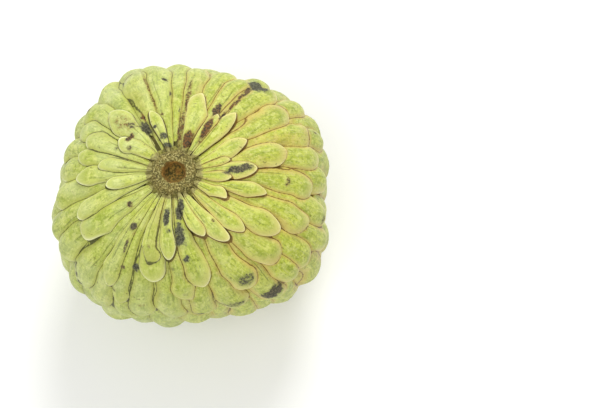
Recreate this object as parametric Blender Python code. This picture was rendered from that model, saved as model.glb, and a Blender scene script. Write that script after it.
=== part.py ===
"""Custard apple: one grown fruit, standing on its blossom end with the stem scar on top.

The outside is one closed surface. A lopsided, slightly heart-shaped body of revolution carries
about 160 scales. Each one is a domed plate that rises towards its free tip and overlies the next
scales there, as a shingle does. The crown's long scales are set one by one round the stem. The
others follow a golden-angle spiral down to the blossom end.

Units are metres, +Z is up, and the origin is the middle of the flat resting spot.
"""

import bmesh
import bpy
import numpy as np

NAME = "custard_apple"
MM = 0.001

# Driving dimensions of the body
RADIUS = 46.4 * MM             # middle radius across X
DEPTH_RATIO = 0.945            # the fruit is a little narrower across Y than across X
HALF_HEIGHT = 42.5 * MM        # half of the body's height before the resting spot is pressed in
SHOULDER = 0.10                # moves the widest part towards the stem
RESTING_PRESS = 1.5 * MM       # how much of the blossom end the resting spot takes away
RESTING_CALM = (6.0 * MM, 12.5 * MM)  # the scales rise from nothing between these radii there
LEAN = (-4.4 * MM, -1.0 * MM)  # how far the stem end sits off the middle, in X and Y
LEAN_POWER = 3                 # keeps that shift near the stem
LOBES = {2: (0.018, -1.38), 3: (0.033, 0.92), 4: (0.034, -2.92), 5: (0.018, 2.91)}  # share, turn
LOBE_POWER = 1.5               # how fast the lobes fade towards both ends

# Hollow and scar at the stem
HOLLOW_DEPTH = 3.5 * MM
HOLLOW_RADIUS = 14.0 * MM
SCAR_EDGE = (6.6 * MM, 8.2 * MM)  # the scar gives way to the scales between these distances
SCAR_SINK = 1.5 * MM
COLLAR_RADIUS = 4.8 * MM
COLLAR_WIDTH = 1.9 * MM
COLLAR_HEIGHT = 1.1 * MM
PIT_RADIUS = 3.2 * MM
PIT_DEPTH = 2.6 * MM

# Each crown scale, going round the stem: azimuth of its tip in degrees, distance of its tip from
# the stem's middle along the skin in mm, half its width in mm, and azimuth of its root in degrees
CROWN_SCALES = (
    (4, 25.5, 3.1, 2), (0, 49.0, 6.4, -3), (5, 62.0, 5.9, 3), (14, 17.5, 1.5, 13), (16, 37.5, 4.6, 12),
    (13, 53.5, 5.2, 14), (28, 24.5, 2.9, 20), (26, 52.0, 5.9, 24), (24, 64.0, 5.4, 24),
    (38, 46.0, 5.3, 33), (50, 27.5, 2.7, 45), (51, 51.0, 5.3, 52), (39, 60.0, 5.4, 42),
    (58, 23.5, 1.9, 56), (65, 49.0, 4.5, 62), (58, 61.0, 5.4, 58), (76, 30.5, 3.5, 71),
    (73, 54.0, 5.3, 72), (84, 52.0, 5.0, 82), (94, 61.0, 6.4, 90), (105, 55.0, 6.0, 99),
    (112, 22.5, 1.9, 105), (116, 51.0, 5.2, 113), (129, 60.0, 5.6, 126), (136, 33.0, 4.2, 133),
    (140, 50.0, 5.2, 138), (148, 21.5, 2.8, 140), (151, 45.0, 5.2, 150), (156, 36.0, 4.4, 158),
    (166, 37.0, 3.7, 166), (161, 56.0, 5.2, 160), (174, 25.5, 2.6, 172), (173, 49.0, 5.0, 173),
    (181, 35.0, 3.5, 178), (187, 51.0, 5.1, 186), (192, 22.0, 2.2, 190), (203, 36.0, 3.3, 196),
    (199, 58.0, 6.1, 199), (213, 38.0, 4.4, 215), (209, 56.0, 5.8, 208), (222, 58.0, 6.6, 226),
    (236, 46.0, 3.4, 232), (242, 52.0, 3.3, 239), (234, 62.0, 6.1, 233), (245, 64.0, 5.7, 243),
    (253, 33.0, 2.8, 248), (256, 39.0, 4.4, 252), (250, 60.0, 5.9, 247), (263, 62.0, 6.1, 261),
    (265, 30.0, 2.4, 260), (273, 49.0, 4.7, 267), (281, 43.0, 5.0, 273), (277, 63.0, 6.1, 276),
    (292, 23.5, 2.3, 283), (305, 28.0, 2.8, 296), (299, 50.0, 6.3, 296), (290, 62.0, 6.1, 290),
    (307, 64.0, 6.1, 305), (317, 28.5, 2.8, 315), (317, 45.0, 5.5, 313), (317, 57.5, 5.4, 318),
    (331, 18.0, 1.9, 333), (330, 37.5, 4.2, 325), (327, 57.0, 5.9, 327), (337, 65.0, 5.4, 337),
    (341, 48.0, 5.2, 341), (347, 29.0, 2.6, 345), (354, 17.5, 1.8, 354), (348, 60.0, 5.7, 348),
)

# Scales of the spiral
GOLDEN_ANGLE = np.pi * (3.0 - np.sqrt(5.0))
BLOSSOM_SCALE_AREA = 40.0 * MM ** 2
EQUATOR_SCALE_AREA = 245.0 * MM ** 2
LOWER_START = 42.0 * MM        # they fill in from this distance along the skin down
BLOSSOM_MARGIN = 4.0 * MM      # and end at this distance from the blossom end
CROWDING = 0.66                # those closer to a crown scale than this share of their size go
CROWDING_ALONG = 0.9           # how much a distance along the skin counts for that
SPIRAL_HALF_WIDTH = 0.55       # as a share of the root of the scale's area
SPIRAL_TIP_LENGTH = 0.54       # from its widest place to its tip, as the same share
PLACE_SPREAD = (0.07, 0.10)    # how much places vary round and along the skin, as the same share
SIZE_SPREAD = (0.02, 0.04)     # how much half widths and tip lengths vary, as the same share
SWEEP_SPREAD = 0.20            # how far roots lie to the side, as the same share

# Shape of every scale
NARROW_TO_WIDE = (2.5 * MM, 6.0 * MM)  # half widths between which tips go from pointed to round
TIP_STRETCH = (2.25, 1.4)      # least tip length over half width of crown scales, for those two
TIP_SPREAD = 0.35              # how much that varies
TIP_POWER = (1.5, 1.9)         # outline of the tip as the power of a superellipse, for those two
TIP_POWER_SPREAD = 0.16        # how much that varies
SPREAD_LIMITS = (-1.6, 2.0)    # the chance behind it stays between these
SKEW_SPREAD = 0.16             # how far tips bend sideways, as a share of half a scale's width
LIFT_SPREAD = 0.10 * MM        # how much the height of scales varies
NARROW_LIFT = 0.35 * MM        # how much higher the narrowest scales lie
UPPER_REACH = 50.0 * MM        # scales change from upper to flank ones at this distance
NARROWING = (0.20, 0.14)       # narrowing towards the root on the flank, and how much less above
DOME = (0.58, 0.27)            # dome over half width on the flank, and how much less above
TIP_DROOP = 0.9                # fall of the dome towards the tip, against that to the side
LIP = (0.10, 0.12 * MM)        # depth of the lip as a share of half the width, plus a little
WAVE_SHARE = 0.05              # how far outlines wave, as a share of half a scale's width
WAVE_LENGTH = 2.6 * MM         # distance over which they wave by one radian
WIDTH_WAVE_PACE = 1.6          # how much faster the width waves than the middle line
WAVE_TURNS = (4.0, 7.0)        # how far chance turns the waves of middle line and width
SLOPE = 0.13                   # rise towards the tip
SLOPE_REACH = 22.0 * MM        # distance behind the widest place over which the slope levels out
ROOT_RING = 8.0 * MM           # distance from the stem at which the root azimuths hold
ROOT_START = 6.5 * MM          # roots come no closer to the stem's middle than this
LONGEST_BACK = 40.0 * MM       # and lie no further than this behind the widest place
BACK_POWER = 3.2               # outline behind the widest place, as the power of a superellipse
LIP_POWER = 7.0                # how close to the edge the lip starts to turn down
PLUMP_POWER = 0.9              # how fast domes flatten as scales narrow towards the stem
OUTSIDE_FALL = 3.0             # how steeply a scale falls away outside its outline
OUTSIDE_LIMITS = (2.0, 4.0)    # it falls no further beyond these shares of width and outline
BED_DEPTH = 3.0 * MM           # depth of the skin where no scale lies
SEAM_DEPTH = 1.7 * MM          # depth of the groove between scales
SEAM_REACH = 1.1 * MM          # the groove fades as one scale gets this much higher than the next
SEAM_START = (8.0 * MM, 36.0 * MM)  # grooves deepen between these distances from the stem
PATCH_SHARES = (-0.5, -0.25, 0.0, 0.25, 0.5)  # heights are averaged over these parts of a cell
SEED = 11

# Mesh fineness
MERIDIANS = 96
ROWS = 64
POLE_CROWDING = 0.25           # rows lie closer together by this share at both ends
PROFILE_STEPS = 2000


def body_profile(polar):
    """Radius and height of the smooth body at a polar angle measured from the stem.

    The radius is a sine wave widened towards the stem by a cosine term. The height is a
    cosine, less a bell-shaped hollow round the stem, and zero lies at the resting spot.
    """
    radius = RADIUS * np.sin(polar) * (1.0 + SHOULDER * np.cos(polar))
    height = HALF_HEIGHT * (1.0 + np.cos(polar)) - RESTING_PRESS
    hollow = HOLLOW_DEPTH * np.exp(-(radius / HOLLOW_RADIUS) ** 2)
    return radius, height - np.where(polar < np.pi / 2, hollow, 0.0)


POLAR = np.linspace(0.0, np.pi, PROFILE_STEPS)
PROFILE_RADIUS, PROFILE_HEIGHT = body_profile(POLAR)
PROFILE_STEP = np.hypot(np.diff(PROFILE_RADIUS), np.diff(PROFILE_HEIGHT))
ALONG = np.concatenate([[0.0], np.cumsum(PROFILE_STEP)])
SKIN_LENGTH = ALONG[-1]


def at_along(values, along):
    """Reads a profile table at distances along the skin from the stem."""
    return np.interp(along, ALONG, values)


def crown_scale_rows():
    """Place, size and root of the hand-set crown scales. The place is where a scale is widest."""
    tip_azimuth, tip, half_width, root_azimuth = np.array(CROWN_SCALES, dtype=float).T
    chance = np.random.default_rng(SEED)
    half_width = half_width * MM
    stretch = np.interp(half_width, NARROW_TO_WIDE, TIP_STRETCH) + TIP_SPREAD * chance.random(len(tip))
    tip_length = half_width * stretch
    place = tip * MM - tip_length
    ring_radius = at_along(PROFILE_RADIUS, place)
    return {
        "azimuth": np.radians(tip_azimuth),
        "place": place,
        "half_width": half_width,
        "tip_length": tip_length,
        "sweep": np.radians(root_azimuth - tip_azimuth) * ring_radius,
    }


def spiral_scale_rows(crown):
    """Place and size of the other scales, from beside the crown scales to the blossom end.

    The n-th scale is turned by n golden angles, and lies where the skin's area, divided by the
    area of one scale there, has counted up to n. Scales that crowd a crown scale are left out.
    """
    area = BLOSSOM_SCALE_AREA + (EQUATOR_SCALE_AREA - BLOSSOM_SCALE_AREA) * np.sin(POLAR) ** 2
    count = np.cumsum(2.0 * np.pi * PROFILE_RADIUS * np.gradient(ALONG) / area)
    number = np.arange(int(count[-1]))
    chance = np.random.default_rng(SEED + 2)
    spread = chance.normal(size=(4, len(number)))
    place = np.interp(number + 0.5, count, ALONG)
    size = np.sqrt(np.interp(place, ALONG, area))
    ring_radius = at_along(PROFILE_RADIUS, place)
    azimuth = number * GOLDEN_ANGLE + PLACE_SPREAD[0] * spread[0] * size / ring_radius
    place = place + PLACE_SPREAD[1] * spread[1] * size

    turn = (azimuth[:, None] - crown["azimuth"] + np.pi) % (2.0 * np.pi) - np.pi
    aside = turn * ring_radius[:, None]
    away = np.hypot(aside, CROWDING_ALONG * (place[:, None] - crown["place"])).min(axis=1)
    kept = (place > LOWER_START) & (place < SKIN_LENGTH - BLOSSOM_MARGIN) & (away > CROWDING * size)
    size = size[kept]
    return {
        "azimuth": azimuth[kept],
        "place": place[kept],
        "half_width": size * (SPIRAL_HALF_WIDTH + SIZE_SPREAD[0] * spread[2][kept]),
        "tip_length": size * (SPIRAL_TIP_LENGTH + SIZE_SPREAD[1] * spread[3][kept]),
        "sweep": SWEEP_SPREAD * size * spread[2][kept],
    }


def scale_layout():
    """One dictionary of numbers per scale: first the crown scales, then those of the spiral."""
    crown = crown_scale_rows()
    spiral = spiral_scale_rows(crown)
    layout = {name: np.concatenate([crown[name], spiral[name]]) for name in crown}
    count = len(layout["place"])
    spread = np.random.default_rng(SEED + 3).normal(size=(5, count))
    half_width = layout["half_width"]
    upper = np.exp(-(layout["place"] / UPPER_REACH) ** 4)     # 1 near the stem, 0 on the flank
    tip_power = np.interp(half_width, NARROW_TO_WIDE, TIP_POWER)
    narrow_lift = np.interp(half_width, NARROW_TO_WIDE, (NARROW_LIFT, 0.0))
    layout.update({
        "ring_radius": at_along(PROFILE_RADIUS, layout["place"]),
        "lift": LIFT_SPREAD * spread[0] + narrow_lift,
        "tip_power": tip_power + TIP_POWER_SPREAD * np.clip(spread[1], *SPREAD_LIMITS),
        "skew": SKEW_SPREAD * spread[2],
        "phase": spread[3],
        "narrowing": NARROWING[0] - NARROWING[1] * upper,
        "dome": half_width * (DOME[0] - DOME[1] * upper),
        "lip": half_width * LIP[0] + LIP[1],
        "back_length": np.minimum(layout["place"] - ROOT_START, LONGEST_BACK),
    })
    return [{name: values[row] for name, values in layout.items()} for row in range(count)]


def plate_side_shift(ahead, plate):
    """Sideways shift of a scale's middle line: a straight sweep to its root, plus a slight wave."""
    to_tip = (plate["tip_length"] - ahead) / (plate["place"] + plate["tip_length"] - ROOT_RING)
    forward = np.clip(ahead / plate["tip_length"], 0.0, 1.0)
    lean = plate["skew"] * plate["half_width"] * forward * (1.0 - forward) * 4.0
    wave = np.sin(ahead / WAVE_LENGTH + WAVE_TURNS[0] * plate["phase"])
    return plate["sweep"] * to_tip + lean + WAVE_SHARE * plate["half_width"] * wave


def plate_height(azimuth, along, plate):
    """Height of one scale over the smooth body at any place of the skin.

    It rises evenly towards the tip and levels out far behind it. A dome falls with the square
    of the sideways distance, and a lip turns down where the outline, a superellipse, is reached.
    Both get shallower towards the root. Outside the outline the height falls away steeply.
    """
    ahead = along - plate["place"]
    turn = (azimuth - plate["azimuth"] + np.pi) % (2.0 * np.pi) - np.pi
    backward = np.clip(-ahead / plate["back_length"], 0.0, 1.0)
    wave = np.sin(WIDTH_WAVE_PACE * ahead / WAVE_LENGTH + WAVE_TURNS[1] * plate["phase"])
    half_width = plate["half_width"] * (1.0 - plate["narrowing"] * backward + WAVE_SHARE * wave)
    side = (turn * plate["ring_radius"] - plate_side_shift(ahead, plate)) / half_width
    length = np.where(ahead > 0.0, plate["tip_length"], plate["back_length"])
    power = np.where(ahead > 0.0, plate["tip_power"], BACK_POWER)
    share = (np.abs(ahead / length) ** power + np.abs(side) ** power) ** (1.0 / power)
    side = np.clip(side, -OUTSIDE_LIMITS[0], OUTSIDE_LIMITS[0])
    share = np.minimum(share, OUTSIDE_LIMITS[1])

    behind = SLOPE_REACH * (np.exp(np.minimum(ahead, 0.0) / SLOPE_REACH) - 1.0)
    rise = np.where(ahead > 0.0, ahead, behind)
    ring_share = at_along(PROFILE_RADIUS, along) / plate["ring_radius"]
    plump = np.minimum(ring_share, 1.0) ** PLUMP_POWER
    tip_droop = np.maximum(ahead, 0.0) / plate["tip_length"]
    dome = plump * plate["dome"] * (side ** 2 + TIP_DROOP * tip_droop ** 2)
    lip = 1.0 - np.sqrt(np.maximum(1.0 - np.clip(share, 0.0, 1.0) ** LIP_POWER, 0.0))
    outside = OUTSIDE_FALL * plate["half_width"] * np.maximum(share - 1.0, 0.0)
    return plate["lift"] + SLOPE * rise - dome - plump ** 0.5 * plate["lip"] * lip - outside


def scale_relief(azimuth, along):
    """Height of the skin over the smooth body: the highest scale, or the bed where there is none.

    A groove is sunk along the seams, where the two highest scales meet at one height. The result
    is averaged over a small patch round each place, as wide as the mesh is fine, so the steps at
    the free tips come out as even slopes.
    """
    across = (2.0 * np.pi / MERIDIANS) * np.array(PATCH_SHARES)
    downwards = (SKIN_LENGTH / ROWS) * np.array(PATCH_SHARES)
    patch_azimuth = azimuth[:, None, None] + across[:, None]
    patch_along = np.abs(along[:, None, None] + downwards)
    patch_azimuth, patch_along = np.broadcast_arrays(patch_azimuth, patch_along)
    highest = np.full(patch_along.shape, -BED_DEPTH)
    second = highest
    for plate in scale_layout():
        height = plate_height(patch_azimuth, patch_along, plate)
        second = np.maximum(second, np.minimum(highest, height))
        highest = np.maximum(highest, height)
    seam_depth = SEAM_DEPTH * np.interp(patch_along, SEAM_START, (0.0, 1.0))
    relief = highest - seam_depth * np.exp((second - highest) / SEAM_REACH)
    return relief.mean(axis=(1, 2))


def scar_relief(along):
    """Collar and pit of the stem scar: a raised bell-shaped ring round a sunk bell."""
    collar = COLLAR_HEIGHT * np.exp(-((along - COLLAR_RADIUS) / COLLAR_WIDTH) ** 4)
    pit = PIT_DEPTH * np.exp(-(along / PIT_RADIUS) ** 6)
    return collar - pit - SCAR_SINK


def fruit_points(azimuth, polar):
    """Points of the skin at the given azimuth and polar angles.

    The smooth body's point is moved along the body's normal by the relief, then stretched into
    lobes, narrowed across Y, shifted by the lean, and pressed flat below the resting plane.
    """
    radius, height = body_profile(polar)
    along = np.interp(polar, POLAR, ALONG)
    stem_side = polar < np.pi / 2
    at_scales = np.interp(along, SCAR_EDGE, (0.0, 1.0))
    off_rest = np.interp(radius, RESTING_CALM, (0.0, 1.0))
    relief = scale_relief(azimuth, along) * np.where(stem_side, at_scales, off_rest)
    relief = relief + (1.0 - at_scales) * scar_relief(along)

    radius_slope = np.interp(polar, POLAR, np.gradient(PROFILE_RADIUS, ALONG))
    height_slope = np.interp(polar, POLAR, np.gradient(PROFILE_HEIGHT, ALONG))
    length = np.hypot(radius_slope, height_slope)
    radius = radius - relief * height_slope / length
    height = height + relief * radius_slope / length

    waves = sum(share * np.cos(count * azimuth + turn) for count, (share, turn) in LOBES.items())
    lobes = 1.0 + waves * np.sin(polar) ** LOBE_POWER
    stem_share = ((1.0 + np.cos(polar)) / 2.0) ** LEAN_POWER
    x = radius * lobes * np.cos(azimuth) + LEAN[0] * stem_share
    y = radius * lobes * np.sin(azimuth) * DEPTH_RATIO + LEAN[1] * stem_share
    return np.stack([x, y, np.maximum(height, 0.0)], axis=-1)


def skin_material():
    """Yellow-green waxy skin."""
    material = bpy.data.materials.new("custard_apple_skin")
    material.use_nodes = True
    shader = material.node_tree.nodes["Principled BSDF"]
    shader.inputs["Base Color"].default_value = (0.50, 0.55, 0.16, 1.0)
    shader.inputs["Roughness"].default_value = 0.55
    shader.inputs["Metallic"].default_value = 0.0
    return material


def make_fruit():
    """One closed mesh: a sphere whose points are moved onto the fruit's skin."""
    mesh = bpy.data.meshes.new(NAME)
    shape = bmesh.new()
    bmesh.ops.create_uvsphere(shape, u_segments=MERIDIANS, v_segments=ROWS, radius=1.0)
    shape.to_mesh(mesh)
    shape.free()

    points = np.empty(len(mesh.vertices) * 3)
    mesh.vertices.foreach_get("co", points)
    points = points.reshape(-1, 3)
    azimuth = np.arctan2(points[:, 1], points[:, 0])
    polar = np.arccos(np.clip(points[:, 2], -1.0, 1.0))
    polar = polar - POLE_CROWDING * np.sin(2.0 * polar) / 2.0
    mesh.vertices.foreach_set("co", fruit_points(azimuth, polar).ravel())
    mesh.update()
    mesh.shade_smooth()
    mesh.materials.append(skin_material())
    return bpy.data.objects.new(NAME, mesh)


def main():
    for old in list(bpy.data.objects):
        bpy.data.objects.remove(old, do_unlink=True)
    collection = bpy.data.collections.new(NAME)
    bpy.context.scene.collection.children.link(collection)
    collection.objects.link(make_fruit())


main()
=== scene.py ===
"""Looks of the custard apple: skin of overlapping scales, corky stem scar, floor, light and camera.

The fruit stands on its blossom end with the stem scar on top. Its skin is made of about 160
scales: long ones set one by one round the stem, and below them others on a golden-angle spiral.
Each scale is a closed, domed plate with a rounded lip, which rises towards its free tip and lies
over the next scales there. Under them lies a smooth bed, and the scar is a surface of its own.
Lengths are metres and the frame is the CAD model's: +Z up, origin in the resting spot.
"""

import bpy
import numpy as np
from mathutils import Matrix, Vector


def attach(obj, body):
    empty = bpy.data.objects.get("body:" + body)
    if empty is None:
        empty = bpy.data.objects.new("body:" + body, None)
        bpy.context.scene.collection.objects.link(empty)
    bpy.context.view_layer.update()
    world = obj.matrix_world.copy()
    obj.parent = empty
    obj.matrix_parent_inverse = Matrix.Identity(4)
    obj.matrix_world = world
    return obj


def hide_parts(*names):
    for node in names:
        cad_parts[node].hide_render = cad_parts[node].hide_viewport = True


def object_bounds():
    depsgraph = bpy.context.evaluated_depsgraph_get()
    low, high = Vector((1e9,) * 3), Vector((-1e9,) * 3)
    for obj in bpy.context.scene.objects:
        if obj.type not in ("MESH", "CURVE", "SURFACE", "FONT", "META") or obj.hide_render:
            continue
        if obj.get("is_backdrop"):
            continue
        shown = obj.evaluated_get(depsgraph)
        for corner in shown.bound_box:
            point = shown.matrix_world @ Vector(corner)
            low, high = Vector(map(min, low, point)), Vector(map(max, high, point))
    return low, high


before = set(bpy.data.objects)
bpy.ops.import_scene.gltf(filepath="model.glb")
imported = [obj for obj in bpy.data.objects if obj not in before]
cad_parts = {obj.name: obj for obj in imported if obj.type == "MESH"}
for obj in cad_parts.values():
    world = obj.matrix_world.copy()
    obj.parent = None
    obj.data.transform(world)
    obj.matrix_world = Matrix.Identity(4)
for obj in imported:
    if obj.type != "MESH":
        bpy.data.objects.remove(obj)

CAD_LOW, CAD_HIGH = (list(corner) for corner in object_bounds())
MM = 0.001

# ---------------------------------------------------------------- body, as the CAD model has it

RADIUS = 46.4 * MM              # middle radius across X
DEPTH_RATIO = 0.945             # the fruit is a little narrower across Y than across X
HALF_HEIGHT = 42.5 * MM         # half of the body's height before the resting spot is pressed in
SHOULDER = 0.10                 # moves the widest part towards the stem
RESTING_PRESS = 1.5 * MM        # how much of the blossom end the resting spot takes away
BLOSSOM_CLEARANCE = 0.6 * MM    # the smooth body stays this far above the resting plane
LEAN = (-4.4 * MM, -1.0 * MM)   # how far the stem end sits off the middle, in X and Y
LEAN_POWER = 3                  # keeps that shift near the stem
LOBES = {2: (0.018, -1.38), 3: (0.033, 0.92), 4: (0.034, -2.92), 5: (0.018, 2.91)}   # share, turn
LOBE_POWER = 1.5                # how fast the lobes fade towards both ends
HOLLOW_DEPTH = 3.5 * MM
HOLLOW_RADIUS = 14.0 * MM
PROFILE_STEPS = 2000
SEED = 11

# Each crown scale, going round the stem: azimuth of its tip in degrees, distance of its tip from the
# stem's middle along the skin in mm, half its width in mm, and azimuth of its root in degrees.
CROWN_SCALES = (
    (4, 25.5, 3.1, 2), (0, 49.0, 6.4, -3), (5, 62.0, 5.9, 3), (14, 17.5, 1.5, 13), (16, 37.5, 4.6, 12),
    (13, 53.5, 5.2, 14), (28, 24.5, 2.9, 20), (26, 52.0, 5.9, 24), (24, 64.0, 5.4, 24),
    (38, 46.0, 5.3, 33), (50, 27.5, 2.7, 45), (51, 51.0, 5.3, 52), (39, 60.0, 5.4, 42),
    (58, 23.5, 1.9, 56), (65, 49.0, 4.5, 62), (58, 61.0, 5.4, 58), (76, 30.5, 3.5, 71),
    (73, 54.0, 5.3, 72), (84, 52.0, 5.0, 82), (94, 61.0, 6.4, 90), (105, 55.0, 6.0, 99),
    (112, 22.5, 1.9, 105), (116, 51.0, 5.2, 113), (129, 60.0, 5.6, 126), (136, 33.0, 4.2, 133),
    (140, 50.0, 5.2, 138), (148, 21.5, 2.8, 140), (151, 45.0, 5.2, 150), (156, 36.0, 4.4, 158),
    (166, 37.0, 3.7, 166), (161, 56.0, 5.2, 160), (174, 25.5, 2.6, 172), (173, 49.0, 5.0, 173),
    (181, 35.0, 3.5, 178), (187, 51.0, 5.1, 186), (192, 22.0, 2.2, 190), (203, 36.0, 3.3, 196),
    (199, 58.0, 6.1, 199), (213, 38.0, 4.4, 215), (209, 56.0, 5.8, 208), (222, 58.0, 6.6, 226),
    (236, 46.0, 3.4, 232), (242, 52.0, 3.3, 239), (234, 62.0, 6.1, 233), (245, 64.0, 5.7, 243),
    (253, 33.0, 2.8, 248), (256, 39.0, 4.4, 252), (250, 60.0, 5.9, 247), (263, 62.0, 6.1, 261),
    (265, 30.0, 2.4, 260), (273, 49.0, 4.7, 267), (281, 43.0, 5.0, 273), (277, 63.0, 6.1, 276),
    (292, 23.5, 2.3, 283), (305, 28.0, 2.8, 296), (299, 50.0, 6.3, 296), (290, 62.0, 6.1, 290),
    (307, 64.0, 6.1, 305), (317, 28.5, 2.8, 315), (317, 45.0, 5.5, 313), (317, 57.5, 5.4, 318),
    (331, 18.0, 1.9, 333), (330, 37.5, 4.2, 325), (327, 57.0, 5.9, 327), (337, 65.0, 5.4, 337),
    (341, 48.0, 5.2, 341), (347, 29.0, 2.6, 345), (354, 17.5, 1.8, 354), (348, 60.0, 5.7, 348),
)

# Scales of the spiral
GOLDEN_ANGLE = np.pi * (3.0 - np.sqrt(5.0))
BLOSSOM_SCALE_AREA = 40.0 * MM ** 2
EQUATOR_SCALE_AREA = 245.0 * MM ** 2
LOWER_START = 42.0 * MM         # they fill in from this distance along the skin down
BLOSSOM_MARGIN = 4.0 * MM       # and end at this distance from the blossom end
CROWDING = 0.66                 # those closer to a crown scale than this share of their size go
CROWDING_ALONG = 0.9            # how much a distance along the skin counts for that
SPIRAL_HALF_WIDTH = 0.55        # as a share of the root of the scale's area
SPIRAL_TIP_LENGTH = 0.54        # from its widest place to its tip, as the same share
PLACE_SPREAD = (0.07, 0.10)     # how much places vary round and along the skin, as the same share
SIZE_SPREAD = (0.02, 0.04)      # how much half widths and tip lengths vary, as the same share
SWEEP_SPREAD = 0.20             # how far roots lie to the side, as the same share

# Shape of every scale
NARROW_TO_WIDE = (2.5 * MM, 6.0 * MM)   # half widths between which tips go from pointed to round
TIP_STRETCH = (2.25, 1.4)       # least tip length over half width of crown scales, for those two
TIP_SPREAD = 0.35               # how much that varies
TIP_POWER = (1.5, 1.9)          # outline of the tip as the power of a superellipse, for those two
TIP_POWER_SPREAD = 0.16         # how much that varies
SPREAD_LIMITS = (-1.6, 2.0)     # the chance behind it stays between these
SKEW_SPREAD = 0.16              # how far tips bend sideways, as a share of half a scale's width
LIFT_SPREAD = 0.10 * MM         # how much the height of scales varies
NARROW_LIFT = 0.35 * MM         # how much higher the narrowest scales lie
UPPER_REACH = 50.0 * MM         # scales change from upper to flank ones at this distance
NARROWING = (0.20, 0.14)        # narrowing towards the root on the flank, and how much less above
DOME = (0.58, 0.27)             # dome over half width on the flank, and how much less above
TIP_DROOP = 0.9                 # fall of the dome towards the tip, against that to the side
LIP = (0.10, 0.12 * MM)         # depth of the lip as a share of half the width, plus a little
LIP_POWER = 7.0                 # how close to the edge the lip starts to turn down
PLUMP_POWER = 0.9               # how fast domes flatten as scales narrow towards the stem
WAVE_SHARE = 0.05               # how far outlines wave, as a share of half a scale's width
WAVE_LENGTH = 2.6 * MM          # distance over which they wave by one radian
WIDTH_WAVE_PACE = 1.6           # how much faster the width waves than the middle line
WAVE_TURNS = (4.0, 7.0)         # how far chance turns the waves of middle line and width
SLOPE = 0.13                    # rise towards the tip
SLOPE_REACH = 22.0 * MM         # distance behind the widest place over which the slope levels out
ROOT_RING = 8.0 * MM            # distance from the stem at which the root azimuths hold
ROOT_START = 6.5 * MM           # roots come no closer to the stem's middle than this
LONGEST_BACK = 40.0 * MM        # and lie no further than this behind the widest place
BACK_POWER = 3.2                # outline behind the widest place, as the power of a superellipse
OUTSIDE_FALL = 3.0              # how steeply a scale falls away outside its outline
OUTSIDE_LIMITS = (2.0, 4.0)     # it falls no further beyond these shares of width and outline
CREASED_SHARE = 0.5             # how many scales have a fine crease along them
CREASE_PLACE = 0.35             # where it runs, as a share of the half width to one side
NO_CREASE = 9.0                 # the same for scales without one, far outside the scale


def body_profile(polar):
    """Radius and height of the smooth body at a polar angle measured from the stem.

    The radius is a sine wave widened towards the stem by a cosine term. The height is a
    cosine, less a bell-shaped hollow round the stem, and zero lies at the resting spot.
    """
    radius = RADIUS * np.sin(polar) * (1.0 + SHOULDER * np.cos(polar))
    height = HALF_HEIGHT * (1.0 + np.cos(polar)) - RESTING_PRESS
    hollow = HOLLOW_DEPTH * np.exp(-(radius / HOLLOW_RADIUS) ** 2)
    return radius, height - np.where(polar < np.pi / 2, hollow, 0.0)


POLAR = np.linspace(0.0, np.pi, PROFILE_STEPS)
PROFILE_RADIUS, PROFILE_HEIGHT = body_profile(POLAR)
PROFILE_STEP = np.hypot(np.diff(PROFILE_RADIUS), np.diff(PROFILE_HEIGHT))
ALONG = np.concatenate([[0.0], np.cumsum(PROFILE_STEP)])
SKIN_LENGTH = ALONG[-1]


def at_along(values, along):
    """Reads a profile table at distances along the skin from the stem."""
    return np.interp(along, ALONG, values)


def skin_point(azimuth, along, lift):
    """Points of the fruit: azimuth, distance along the skin from the stem, height over the body.

    The body's point is moved along its normal in the meridian plane, then stretched into broad
    lobes, narrowed across Y, shifted by the lean, and pressed flat below the resting plane.
    """
    radius = at_along(PROFILE_RADIUS, along)
    height = np.maximum(at_along(PROFILE_HEIGHT, along), BLOSSOM_CLEARANCE)
    radius_slope = at_along(np.gradient(PROFILE_RADIUS, ALONG), along)
    height_slope = at_along(np.gradient(PROFILE_HEIGHT, ALONG), along)
    length = np.hypot(radius_slope, height_slope)
    radius = radius - lift * height_slope / length
    height = height + lift * radius_slope / length
    polar = at_along(POLAR, along)
    waves = sum(share * np.cos(count * azimuth + turn) for count, (share, turn) in LOBES.items())
    lobes = 1.0 + waves * np.sin(polar) ** LOBE_POWER
    stem_share = ((1.0 + np.cos(polar)) / 2.0) ** LEAN_POWER
    x = radius * lobes * np.cos(azimuth) + LEAN[0] * stem_share
    y = radius * lobes * np.sin(azimuth) * DEPTH_RATIO + LEAN[1] * stem_share
    return np.stack([x, y, np.maximum(height, 0.0)], axis=-1)


# ---------------------------------------------------------------- noise in space

def corner_value(corner):
    """A repeatable value from -1 to 1 for each whole-number point of space, by mixing its bits.

    Each coordinate is multiplied by a large prime, the three are combined, and high bits are
    folded onto low ones before and after another product.
    """
    x, y, z = (corner[..., axis].astype(np.int64).astype(np.uint32) for axis in range(3))
    mixed = x * np.uint32(73856093) ^ y * np.uint32(19349663) ^ z * np.uint32(83492791)
    mixed = (mixed ^ (mixed >> np.uint32(13))) * np.uint32(1274126177)
    mixed = mixed ^ (mixed >> np.uint32(16))
    return (mixed & np.uint32(0xFFFF)) / 32767.5 - 1.0


def soft_noise(points, size):
    """Smooth noise from -1 to 1: random values on a grid of the given size, blended between."""
    place = points / size
    low = np.floor(place)
    share = place - low
    share = share * share * (3.0 - 2.0 * share)
    total = 0.0
    for dx in (0, 1):
        for dy in (0, 1):
            for dz in (0, 1):
                step = np.array([dx, dy, dz])
                weight = np.prod(np.where(step == 1, share, 1.0 - share), axis=-1)
                total = total + weight * corner_value(low + step)
    return total


# ---------------------------------------------------------------- where the scales lie

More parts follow.
